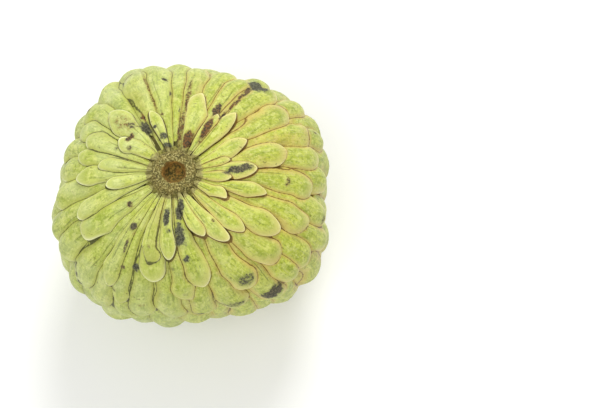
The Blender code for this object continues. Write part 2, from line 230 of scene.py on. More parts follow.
def crown_scale_rows():
    """Place, size and root of the listed crown scales. The place is where a scale is widest."""
    tip_azimuth, tip, half_width, root_azimuth = np.array(CROWN_SCALES, dtype=float).T
    chance = np.random.default_rng(SEED)
    half_width = half_width * MM
    stretch = np.interp(half_width, NARROW_TO_WIDE, TIP_STRETCH) + TIP_SPREAD * chance.random(len(tip))
    tip_length = half_width * stretch
    place = tip * MM - tip_length
    ring_radius = at_along(PROFILE_RADIUS, place)
    return {
        "azimuth": np.radians(tip_azimuth),
        "place": place,
        "half_width": half_width,
        "tip_length": tip_length,
        "sweep": np.radians(root_azimuth - tip_azimuth) * ring_radius,
    }


def spiral_scale_rows(crown):
    """Place and size of the other scales, from beside the crown scales to the blossom end.

    The n-th scale is turned by n golden angles, and lies where the skin's area, divided by the
    area of one scale there, has counted up to n. Scales that crowd a crown scale are left out.
    """
    area = BLOSSOM_SCALE_AREA + (EQUATOR_SCALE_AREA - BLOSSOM_SCALE_AREA) * np.sin(POLAR) ** 2
    count = np.cumsum(2.0 * np.pi * PROFILE_RADIUS * np.gradient(ALONG) / area)
    number = np.arange(int(count[-1]))
    chance = np.random.default_rng(SEED + 2)
    spread = chance.normal(size=(4, len(number)))
    place = np.interp(number + 0.5, count, ALONG)
    size = np.sqrt(np.interp(place, ALONG, area))
    ring_radius = at_along(PROFILE_RADIUS, place)
    azimuth = number * GOLDEN_ANGLE + PLACE_SPREAD[0] * spread[0] * size / ring_radius
    place = place + PLACE_SPREAD[1] * spread[1] * size

    turn = (azimuth[:, None] - crown["azimuth"] + np.pi) % (2.0 * np.pi) - np.pi
    aside = turn * ring_radius[:, None]
    away = np.hypot(aside, CROWDING_ALONG * (place[:, None] - crown["place"])).min(axis=1)
    kept = (place > LOWER_START) & (place < SKIN_LENGTH - BLOSSOM_MARGIN) & (away > CROWDING * size)
    size = size[kept]
    return {
        "azimuth": azimuth[kept],
        "place": place[kept],
        "half_width": size * (SPIRAL_HALF_WIDTH + SIZE_SPREAD[0] * spread[2][kept]),
        "tip_length": size * (SPIRAL_TIP_LENGTH + SIZE_SPREAD[1] * spread[3][kept]),
        "sweep": SWEEP_SPREAD * size * spread[2][kept],
    }


def scale_layout():
    """One row of numbers per scale: first the crown scales, then those of the spiral."""
    crown = crown_scale_rows()
    spiral = spiral_scale_rows(crown)
    layout = {name: np.concatenate([crown[name], spiral[name]]) for name in crown}
    count = len(layout["place"])
    chance = np.random.default_rng(SEED + 3)
    spread = chance.normal(size=(5, count))
    half_width = layout["half_width"]
    upper = np.exp(-(layout["place"] / UPPER_REACH) ** 4)     # 1 near the stem, 0 on the flank
    tip_power = np.interp(half_width, NARROW_TO_WIDE, TIP_POWER)
    narrow_lift = np.interp(half_width, NARROW_TO_WIDE, (NARROW_LIFT, 0.0))
    creased = chance.random(count) < CREASED_SHARE
    layout.update({
        "ring_radius": at_along(PROFILE_RADIUS, layout["place"]),
        "lift": LIFT_SPREAD * spread[0] + narrow_lift,
        "upper": upper,
        "tip_power": tip_power + TIP_POWER_SPREAD * np.clip(spread[1], *SPREAD_LIMITS),
        "skew": SKEW_SPREAD * spread[2],
        "tint": spread[3],
        "narrowing": NARROWING[0] - NARROWING[1] * upper,
        "dome": half_width * (DOME[0] - DOME[1] * upper),
        "lip": half_width * LIP[0] + LIP[1],
        "crease": np.where(creased, CREASE_PLACE * np.sign(spread[4]), NO_CREASE),
        "back_length": np.minimum(layout["place"] - ROOT_START, LONGEST_BACK),
    })
    return {name: values[:, None] for name, values in layout.items()}


def plate_side_shift(ahead, plate):
    """Sideways shift of a scale's middle line: a straight sweep to its root, plus a slight wave."""
    to_tip = (plate["tip_length"] - ahead) / (plate["place"] + plate["tip_length"] - ROOT_RING)
    forward = np.clip(ahead / plate["tip_length"], 0.0, 1.0)
    lean = plate["skew"] * plate["half_width"] * forward * (1.0 - forward) * 4.0
    wave = np.sin(ahead / WAVE_LENGTH + WAVE_TURNS[0] * plate["tint"])
    return plate["sweep"] * to_tip + lean + WAVE_SHARE * plate["half_width"] * wave


def plate_taper(ahead, plate):
    """Width of a scale as a share: it narrows behind its widest place, and waves slightly."""
    backward = np.clip(-ahead / plate["back_length"], 0.0, 1.0)
    wave = np.sin(WIDTH_WAVE_PACE * ahead / WAVE_LENGTH + WAVE_TURNS[1] * plate["tint"])
    return 1.0 - plate["narrowing"] * backward + WAVE_SHARE * wave


def plate_height(ahead, share, side, plate):
    """Height of a scale's top over the smooth body.

    It rises evenly towards the tip and levels out far behind it. A dome falls with the square
    of the sideways distance, and the lip turns down as a rounded edge where share reaches 1.
    Both get shallower towards the root, as the scale narrows there.
    """
    ring_share = at_along(PROFILE_RADIUS, plate["place"] + ahead) / plate["ring_radius"]
    plump = np.minimum(ring_share, 1.0) ** PLUMP_POWER
    behind = SLOPE_REACH * (np.exp(np.minimum(ahead, 0.0) / SLOPE_REACH) - 1.0)
    rise = np.where(ahead > 0.0, ahead, behind)
    inside = np.clip(share, 0.0, 1.0)
    lip = 1.0 - np.sqrt(np.maximum(1.0 - inside ** LIP_POWER, 0.0))
    tip_droop = np.maximum(ahead, 0.0) / plate["tip_length"]
    fall = plump * plate["dome"] * (side ** 2 + TIP_DROOP * tip_droop ** 2)
    outside = OUTSIDE_FALL * plate["half_width"] * np.maximum(share - 1.0, 0.0)
    return plate["lift"] + SLOPE * rise - fall - plump ** 0.5 * plate["lip"] * lip - outside


def height_elsewhere(azimuth, along, plate):
    """Height that a scale's top has at any place of the skin, falling away outside its outline.

    The outline is a superellipse: the share of the length to the power and that of the width to
    the power add up to 1 on it.
    """
    ahead = along - plate["place"]
    turn = (azimuth - plate["azimuth"] + np.pi) % (2.0 * np.pi) - np.pi
    across = turn * plate["ring_radius"]
    half_width = plate["half_width"] * plate_taper(ahead, plate)
    side = (across - plate_side_shift(ahead, plate)) / half_width
    length = np.where(ahead > 0.0, plate["tip_length"], plate["back_length"])
    power = np.where(ahead > 0.0, plate["tip_power"], BACK_POWER)
    share = (np.abs(ahead / length) ** power + np.abs(side) ** power) ** (1.0 / power)
    side = np.clip(side, -OUTSIDE_LIMITS[0], OUTSIDE_LIMITS[0])
    return plate_height(ahead, np.minimum(share, OUTSIDE_LIMITS[1]), side, plate)


# ---------------------------------------------------------------- meshes from grids

def ring_faces(rings, steps):
    """Faces of a closed surface of rings between two poles: fans at the poles, quads between."""
    step = np.arange(steps)
    after = (step + 1) % steps
    first = 1 + np.arange(rings - 1)[:, None] * steps
    quads = np.stack([first + step, first + steps + step, first + steps + after, first + after], axis=-1)
    top = np.stack([np.zeros(steps, int), 1 + step, 1 + after], axis=-1)
    last = 1 + (rings - 1) * steps
    bottom = np.stack([last + step, np.full(steps, last + steps), last + after], axis=-1)
    return quads.reshape(-1, 4), np.concatenate([top, bottom])


def mesh_object(name, points, quads, triangles, values):
    """A smooth-shaded mesh object with one float attribute for each named list of values."""
    mesh = bpy.data.meshes.new(name)
    mesh.from_pydata(points.reshape(-1, 3).tolist(), [], triangles.tolist() + quads.tolist())
    for label, numbers in values.items():
        attribute = mesh.attributes.new(label, "FLOAT", "POINT")
        attribute.data.foreach_set("value", np.ascontiguousarray(numbers, dtype=np.float32).ravel())
    mesh.shade_smooth()
    mesh.update()
    piece = bpy.data.objects.new(name, mesh)
    bpy.context.scene.collection.objects.link(piece)
    return piece


# ---------------------------------------------------------------- scales

TIP_ROWS = 15                   # rows from the widest place to the tip
CROWN_FINENESS = (52, 23)       # rows behind the widest place, and points across the top
FLANK_FINENESS = (26, 17)       # the same on the flank
INNER_REACH = 36.0 * MM         # crown scales that are widest within this distance are inner ones
UNDER_SIDES = (0.985, 0.82, 0.35, -0.35, -0.82, -0.985)     # places across the underside, as shares
UNDER_SHARES = (0.0, 0.6, 0.93, 0.985, 1.0)                 # shares of the outline, and how far the
UNDER_DROPS = (2.8 * MM, 2.6 * MM, 1.7 * MM, 0.9 * MM, 0.0)     # underside lies below the edge there
CREASE_START = 0.15             # a crease fades in front of this share of the back length
STREAK_LENGTH = 6.0 * MM        # distances along and across a scale over which streaks change
STREAK_WIDTH = 0.9 * MM
STEMWARD_REACH = 21.0 * MM      # how far the stem's yellower skin reaches
CLEARANCE_LIMITS = (-1.0, 3.0)  # clearances below and above these many mm all count as these
NO_SCALE = -1.0                 # a height below every scale
UNEVENNESS = ((0.22 * MM, 5.0 * MM), (0.09 * MM, 1.9 * MM))     # depth and size of its lumps


def scale_plates(layout, back_rows, columns):
    """Points and attributes of many scales at once, as closed plates.

    Each plate is a grid of rows from its root to its tip. A row runs across the top from side to
    side, evenly in angle and in distance by halves, and back along the underside. The outline is
    a superellipse, so a row is as wide as one less its share along, raised to the power, allows.
    """
    back = -1.0 + (np.arange(1, back_rows + 1) - 0.5) / back_rows
    front = np.sin(np.pi / 2.0 * np.arange(0, TIP_ROWS) / TIP_ROWS)
    ahead_share = np.concatenate([back, front])
    turn = np.linspace(-1.0, 1.0, columns)
    top = 0.5 * turn + 0.5 * np.sin(np.pi / 2.0 * turn)
    across_share = np.concatenate([top, UNDER_SIDES])
    under = np.concatenate([np.zeros(columns, bool), np.ones(len(UNDER_SIDES), bool)])
    rows, around = len(ahead_share), len(across_share)
    ahead_share = np.concatenate([[-1.0], np.repeat(ahead_share, around), [1.0]])[None, :]
    across_share = np.concatenate([[0.0], np.tile(across_share, rows), [0.0]])[None, :]
    under = np.concatenate([[False], np.tile(under, rows), [False]])[None, :]

    forward = ahead_share > 0.0
    power = np.where(forward, layout["tip_power"], BACK_POWER)
    length = np.where(forward, layout["tip_length"], layout["back_length"])
    ahead = ahead_share * length
    side = across_share * (1.0 - np.abs(ahead_share) ** power) ** (1.0 / power)
    share = (np.abs(ahead_share) ** power + np.abs(side) ** power) ** (1.0 / power)
    across = side * layout["half_width"] * plate_taper(ahead, layout)
    azimuth = layout["azimuth"] + (across + plate_side_shift(ahead, layout)) / layout["ring_radius"]
    along = np.clip(layout["place"] + ahead, 0.0, SKIN_LENGTH)
    drop = np.where(under, np.interp(share, UNDER_SHARES, UNDER_DROPS), 0.0)
    height = plate_height(ahead, np.where(under, 1.0, share), side, layout) - drop
    crease = np.abs(side - layout["crease"]) + np.maximum(ahead_share + CREASE_START, 0.0)
    return azimuth, along, height, {
        "edge": np.where(under, 1.0, np.where(forward, share, np.abs(across_share))),
        "tint": layout["tint"] + 0.0 * height,
        "upper": layout["upper"] + 0.0 * height,
        "tipward": ahead_share + 0.0 * height,
        "crease": crease * layout["half_width"] / MM,
        "flow_along": ahead / STREAK_LENGTH,
        "flow_side": across / STREAK_WIDTH,
        "stemward": np.exp(-(along / STEMWARD_REACH) ** 2),
        "from_stem": along / MM,
    }


def seam_clearance(azimuth, along, height, layout, chosen):
    """How far, in mm, each point of the chosen scales lies above the highest other scale there."""
    best = np.full(azimuth.shape, NO_SCALE)
    numbers = np.flatnonzero(chosen)
    for other in range(len(chosen)):
        plate = {name: values[other] for name, values in layout.items()}
        found = height_elsewhere(azimuth, along, plate)
        found[numbers == other] = NO_SCALE
        best = np.maximum(best, found)
    return np.clip((height - best) / MM, *CLEARANCE_LIMITS)


def scale_piece(name, layout, chosen, fineness):
    """The chosen scales as one mesh of closed plates, with fine unevenness on their tops."""
    back_rows, columns = fineness
    own = {label: numbers[chosen] for label, numbers in layout.items()}
    azimuth, along, height, values = scale_plates(own, back_rows, columns)
    values["seam"] = seam_clearance(azimuth, along, height, layout, chosen)
    smooth = skin_point(azimuth, along, height)
    uneven = sum(depth * soft_noise(smooth, size) for depth, size in UNEVENNESS)
    points = skin_point(azimuth, along, height + uneven)
    values["bruise"], values["brownness"] = blemish_values(smooth, layout)
    quads, triangles = ring_faces(back_rows + TIP_ROWS, columns + len(UNDER_SIDES))
    start = np.arange(len(points))[:, None, None] * points.shape[1]
    return mesh_object(
        name,
        points,
        (quads + start).reshape(-1, 4),
        (triangles + start).reshape(-1, 3),
        values,
    )


BED_STEPS, BED_RINGS = 128, 90
BED_DEPTH = 4.2 * MM            # under the smooth body
BED_DIP = 3.0 * MM              # how much deeper it is under the stem scar
BED_DIP_REACH = 6.0 * MM


def bed_piece():
    """The smooth bed under the scales: the body's own surface, a little sunk, on a polar grid."""
    steps, rings = BED_STEPS, BED_RINGS
    turn = np.linspace(0.0, 2.0 * np.pi, steps, endpoint=False)
    along = SKIN_LENGTH * np.arange(1, rings + 1) / (rings + 1)
    azimuth = np.concatenate([[0.0], np.tile(turn, rings), [0.0]])
    along = np.concatenate([[0.0], np.repeat(along, steps), [SKIN_LENGTH]])
    sunk = -BED_DEPTH - BED_DIP * np.exp(-(along / BED_DIP_REACH) ** 4)
    points = skin_point(azimuth, along, sunk)
    quads, triangles = ring_faces(rings, steps)
    return mesh_object("scale_bed", points, quads, triangles, {})


# ---------------------------------------------------------------- stem scar

SCAR_STEPS, SCAR_RINGS = 220, 90
SCAR_REACH = 9.2 * MM           # the scar ends here, under the scales
SCAR_SINK = 0.5 * MM
SCAR_SHRINK = (1.17, 0.10)      # its profile is drawn smaller by this, which varies by so much
SHRINK_SIZE = 3.0 * MM          # distance over which it varies
COLLAR_RADIUS = 5.6 * MM
COLLAR_WIDTH = 2.2 * MM
COLLAR_HEIGHT = 1.1 * MM
PIT_RADIUS = 3.7 * MM
PIT_DEPTH = 2.6 * MM
SKIRT_START = 7.6 * MM          # from here out the scar slopes down to the bed
SKIRT_WIDTH = 1.6 * MM
SKIRT_DEPTH = 2.4 * MM
GRAINS = ((0.22 * MM, 0.55 * MM), (0.16 * MM, 0.9 * MM))    # height and size of the cork's grains
CRUMB_HEIGHT = 0.55 * MM        # the pit holds coarser crumbs
CRUMB_SIZE = 1.5 * MM
CRUMB_REACH = 3.3 * MM
SCAR_UNDERSIDE = -6.0 * MM      # height of the point that closes the scar below


def scar_piece():
    """The corky stem scar: a grainy collar round a rough pit, on a polar grid.

    Its height over the body is a raised bell-shaped ring, less a sunk bell for the pit and a
    slope outside, plus noise of two sizes for the grains of cork. One point closes it below.
    """
    turn = np.linspace(0.0, 2.0 * np.pi, SCAR_STEPS, endpoint=False)
    distance = SCAR_REACH * (np.arange(1, SCAR_RINGS + 1) / SCAR_RINGS)
    azimuth = np.concatenate([[0.0], np.tile(turn, SCAR_RINGS), [0.0]])
    distance = np.concatenate([[0.0], np.repeat(distance, SCAR_STEPS), [0.0]])
    flat = skin_point(azimuth, distance, np.zeros(azimuth.shape))
    drawn = distance * (SCAR_SHRINK[0] + SCAR_SHRINK[1] * soft_noise(flat, SHRINK_SIZE))
    collar = COLLAR_HEIGHT * np.exp(-((drawn - COLLAR_RADIUS) / COLLAR_WIDTH) ** 4) - SCAR_SINK
    pit = PIT_DEPTH * np.exp(-(drawn / PIT_RADIUS) ** 6)
    skirt = SKIRT_DEPTH * np.clip((drawn - SKIRT_START) / SKIRT_WIDTH, 0.0, 1.0) ** 1.5
    grain = sum(height * soft_noise(flat, size) for height, size in GRAINS)
    crumbs = CRUMB_HEIGHT * soft_noise(flat, CRUMB_SIZE) * np.exp(-(distance / CRUMB_REACH) ** 4)
    height = collar - pit - skirt + grain + crumbs
    height[-1] = SCAR_UNDERSIDE
    points = skin_point(azimuth, distance, height)
    quads, triangles = ring_faces(SCAR_RINGS, SCAR_STEPS)
    return mesh_object("stem_scar", points, quads, triangles, {"from_stem": drawn / MM})


# ---------------------------------------------------------------- blemishes

# Each blemish: azimuth in degrees, distance along the skin from the stem's middle in mm, length
# and width in mm, turn in degrees away from pointing down the skin, darkness from 0 to 1, and
# colour from 0 for slate grey to 1 for brown.
CROWN_BLEMISHES = (
    (71, 11.5, 4.6, 2.2, -5, 1.0, 1.0), (57, 17.5, 7.0, 1.6, 2, 0.9, 1.0),
    (62, 26.0, 4.6, 1.8, -4, 0.8, 0.6), (56, 46.3, 5.2, 5.4, 12, 1.0, 0.1),
    (55.5, 25.0, 5.0, 0.9, 4, 0.8, 0.6), (56.3, 30.5, 5.0, 0.8, 4, 0.8, 0.9),
    (57, 35.5, 6.0, 0.9, 4, 0.8, 0.9), (57.3, 40.5, 4.5, 1.1, 2, 0.9, 0.6),
    (3, 19.8, 7.0, 2.0, 12, 0.9, 0.3), (358, 36.3, 1.3, 2.3, 0, 0.8, 0.8),
    (100, 38.0, 1.2, 1.5, 0, 1.0, 0.3), (96.5, 31.0, 2.2, 0.6, 0, 0.7, 0.4),
    (103, 21.5, 1.0, 0.9, 0, 0.7, 1.0), (119, 23.0, 2.4, 1.1, 0, 0.8, 1.0),
    (113, 16.5, 0.9, 0.8, 0, 1.0, 0.1), (107, 12.5, 1.9, 2.0, 0, 0.8, 0.1),
    (106, 9.3, 1.6, 2.2, 0, 0.9, 0.1), (89, 23.5, 1.6, 0.5, 0, 0.7, 0.2),
    (122, 18.5, 4.8, 2.4, 4, 0.9, 0.2), (131, 21.5, 2.2, 1.7, 20, 0.8, 0.4),
    (134, 24.5, 6.0, 4.5, 0, 0.45, 0.9), (139, 31.0, 2.0, 1.4, 0, 0.4, 0.8),
    (142, 18.5, 1.3, 2.7, 10, 0.8, 0.7), (151, 16.5, 1.5, 1.3, 0, 0.7, 0.4),
    (156, 21.0, 1.0, 1.0, 0, 0.5, 0.2), (141, 46.0, 1.4, 2.6, 10, 0.7, 0.6),
    (117, 46.5, 1.2, 3.4, 0, 0.7, 0.5), (218, 17.5, 1.5, 1.7, 0, 0.8, 0.7),
    (234, 22.0, 2.3, 1.6, -10, 0.9, 0.3), (237, 24.3, 1.3, 1.0, 0, 0.5, 1.0),
    (236.5, 29.0, 4.0, 0.8, 6, 0.7, 0.4), (240, 36.5, 1.3, 1.2, 0, 0.8, 0.5),
    (246.5, 35.5, 2.4, 1.5, 4, 1.0, 0.0), (251, 26.0, 0.9, 0.8, 0, 0.6, 0.5),
    (261, 15.5, 4.4, 1.4, 0, 0.9, 0.1), (264.5, 20.0, 1.1, 1.0, 0, 0.7, 0.1),
    (278, 13.0, 5.0, 2.0, -14, 1.0, 0.2), (274, 21.5, 6.8, 2.4, 2, 0.9, 0.1),
    (276, 30.5, 2.0, 1.8, 0, 1.0, 0.1), (266.5, 34.5, 1.3, 1.0, 0, 0.6, 0.2),
    (271.5, 45.0, 1.3, 1.5, 0, 0.6, 0.3), (218.5, 49.0, 1.5, 1.4, 0, 0.8, 0.2),
    (221, 51.7, 1.6, 1.3, 0, 0.8, 0.2), (223.5, 54.3, 1.6, 2.0, 0, 0.9, 0.0),
    (238.5, 46.0, 1.6, 3.0, 10, 0.6, 0.3), (246, 49.0, 1.4, 1.0, 0, 0.7, 0.2),
    (252, 50.5, 0.9, 1.5, 0, 0.5, 1.0), (301, 44.0, 3.6, 4.6, 0, 0.7, 0.2),
    (307, 56.0, 4.2, 5.6, 0, 1.0, 0.3), (290, 56.0, 2.6, 7.0, 0, 0.6, 0.3),
    (293, 58.0, 0.7, 2.4, 0, 0.8, 1.0), (275, 58.5, 1.0, 2.8, 0, 0.7, 0.2),
    (317, 57.0, 1.4, 1.6, 0, 0.8, 0.8), (306, 20.0, 1.0, 0.8, 30, 0.6, 0.8),
    (85, 16.0, 11.0, 1.5, 0, 0.75, 0.8), (85, 30.0, 16.0, 1.2, 0, 0.6, 1.0),
    (109, 35.0, 18.0, 0.9, 4, 0.6, 1.0), (26, 54.0, 2.0, 1.4, 0, 0.7, 0.6),
    (44, 52.0, 1.0, 4.0, 0, 0.6, 0.5), (17, 52.0, 1.4, 1.2, 0, 0.7, 0.6),
    (346, 55.0, 2.0, 2.4, 0, 0.6, 0.4), (338, 47.0, 1.2, 1.6, 0, 0.5, 0.8),
    (29, 53.0, 2.4, 1.2, 0, 0.6, 0.9),
)
BLEMISH_DEPTH = 5.0 * MM        # half the thickness of the body that a blemish is cut from
BLEMISH_EDGE = 1.9              # a blemish fades out where its ellipse is this much larger
RAGGEDNESS = ((0.30, 1.6 * MM), (0.15, 0.9 * MM))   # how ragged that edge is, and the size of it
SMALL_TURN = 0.02               # steps that give the directions round and down the skin
SMALL_STEP = 0.5 * MM
FLANK_START = 58.0 * MM         # scales that are widest beyond this distance get seeded spots
FLANK_SPOT_SHARE = 0.5          # how many of them carry a spot
SPOT_LENGTH = (1.0 * MM, 2.8 * MM)      # least length and width, and how much more at most
SPOT_WIDTH = (0.9 * MM, 1.4 * MM)
SPOT_ASIDE = 0.3                # chance less this puts spots to the side of a scale's middle
SPOT_FORWARD = (0.1, 0.5)       # least place towards the tip, and how much more at most
SPOT_DARKNESS = (0.5, 0.5)      # least darkness, and how much more at most


def blemish_list(layout):
    """All blemishes: the crown's own, and seeded ones near the tips of some flank scales."""
    listed = np.array(CROWN_BLEMISHES) * (np.pi / 180.0, MM, MM, MM, np.pi / 180.0, 1.0, 1.0)
    chance = np.random.default_rng(SEED + 1)
    names = ("azimuth", "place", "half_width", "tip_length", "ring_radius")
    azimuth, place, half_width, tip_length, ring_radius = (layout[name][:, 0] for name in names)
    lucky, aside, forward, long, wide, turn, dark = chance.random((7, len(place)))
    seeded = np.stack([
        azimuth + (aside - SPOT_ASIDE) * half_width / ring_radius,
        place + (SPOT_FORWARD[0] + SPOT_FORWARD[1] * forward) * tip_length,
        SPOT_LENGTH[0] + SPOT_LENGTH[1] * long ** 2,
        SPOT_WIDTH[0] + SPOT_WIDTH[1] * wide ** 2,
        np.pi * turn,
        SPOT_DARKNESS[0] + SPOT_DARKNESS[1] * dark,
        aside,
    ], axis=-1)
    return np.concatenate([listed, seeded[(lucky < FLANK_SPOT_SHARE) & (place > FLANK_START)]])


def blemish_values(points, layout):
    """How blemished and how brown each point is: the strongest of soft-edged, ragged ellipses.

    A point's share of an ellipse is the root of the sum of the squares of its distances along,
    across and into the skin, each over half of the blemish's size that way.
    """
    strongest, brownness = np.zeros(points.shape[:-1]), np.zeros(points.shape[:-1])
    ragged = sum(amount * soft_noise(points, size) for amount, size in RAGGEDNESS)
    for azimuth, along, length, width, turn, dark, brown in blemish_list(layout):
        around = np.array([azimuth, azimuth + SMALL_TURN, azimuth])
        down = np.array([along, along, along + SMALL_STEP])
        middle, beside, below = skin_point(around, down, np.zeros(3))
        side = (beside - middle) / np.linalg.norm(beside - middle)
        onward = (below - middle) / np.linalg.norm(below - middle)
        offset = points - middle
        lengthwise = offset @ (np.sin(turn) * side + np.cos(turn) * onward) / (length / 2)
        sidewise = offset @ (np.cos(turn) * side - np.sin(turn) * onward) / (width / 2)
        inward = offset @ np.cross(side, onward) / BLEMISH_DEPTH
        away = np.sqrt(lengthwise ** 2 + sidewise ** 2 + inward ** 2)
        value = dark * np.clip(BLEMISH_EDGE - away + ragged, 0.0, 1.0)
        brownness = np.where(value > strongest, brown, brownness)
        strongest = np.maximum(strongest, value)
    return strongest, brownness


# ---------------------------------------------------------------- materials

def linear(colour):
    """An sRGB hex colour such as c6d36f as linear red, green, blue and alpha."""
    parts = [int(colour[at:at + 2], 16) / 255.0 for at in (0, 2, 4)]
    return [p / 12.92 if p <= 0.04045 else ((p + 0.055) / 1.055) ** 2.4 for p in parts] + [1.0]


def add(tree, kind, inputs=(), output=0, **settings):
    """Adds a node with these settings, sets or links its inputs, and returns one of its outputs."""
    made = tree.nodes.new(kind)
    for name, value in settings.items():
        setattr(made, name, value)
    for key, value in dict(inputs).items():
        if isinstance(value, bpy.types.NodeSocket):
            tree.links.new(value, made.inputs[key])
        else:
            made.inputs[key].default_value = value
    return made.outputs[output]


def new_material(name):
    """An empty material with a Principled shader, as its node tree and that shader."""
    material = bpy.data.materials.new(name)
    material.use_nodes = True
    return material, material.node_tree, material.node_tree.nodes["Principled BSDF"]


def plain_material(name, colour, roughness):
    """A material of one even colour."""
    material, _, shader = new_material(name)
    shader.inputs["Base Color"].default_value = linear(colour)
    shader.inputs["Roughness"].default_value = roughness
    return material


def lumps(tree, size, detail=3.0, roughness=0.55):
    """Soft noise from 0 to 1 over the object, with lumps of this size in metres."""
    place = add(tree, "ShaderNodeTexCoord", output="Object")
    inputs = {"Vector": place, "Scale": 1.0 / size, "Detail": detail, "Roughness": roughness}
    return add(tree, "ShaderNodeTexNoise", inputs)


def wavering(tree, source, waver, amount):
    """The source moved up and down by noise, at most by half the amount."""
    centred = add(tree, "ShaderNodeMath", {0: waver, 1: 0.5}, operation="SUBTRACT")
    return add(tree, "ShaderNodeMath", {0: centred, 1: amount, 2: source}, operation="MULTIPLY_ADD")


def layer(tree, base, colour, source, low, high, strength=1.0):
    """Lays a colour over a base, from nothing where the source is low to strength where it is high.

    Base and colour are hex texts or outputs of nodes. The share rises smoothly in between.
    """
    levels = {0: source, 1: low, 2: high, 3: 0.0, 4: strength}
    share = add(tree, "ShaderNodeMapRange", levels, interpolation_type="SMOOTHSTEP")
    colours = [linear(choice) if isinstance(choice, str) else choice for choice in (base, colour)]
    inputs = {0: share, 6: colours[0], 7: colours[1]}
    return add(tree, "ShaderNodeMix", inputs, output=2, data_type="RGBA")


def roughen(tree, shader, heights, depth):
    """Bumps of this depth, from the sum of several heights, each given with its share."""
    total = 0.0
    for height, share in heights:
        total = add(tree, "ShaderNodeMath", {0: height, 1: share, 2: total}, operation="MULTIPLY_ADD")
    bump = add(tree, "ShaderNodeBump", {"Strength": 0.8, "Distance": depth, "Height": total})
    tree.links.new(bump, shader.inputs["Normal"])


SUNNY_SIDE = (0.94, 0.06, 0.0)      # direction in which the skin gets warmer and yellower
SUNNY_REACH = (-0.020, 0.022)       # metres from the middle that way between which it changes
SCALE_VALUES = ("edge", "tint", "upper", "tipward", "crease", "flow_along", "flow_side", "stemward",
                "from_stem", "seam", "bruise", "brownness")


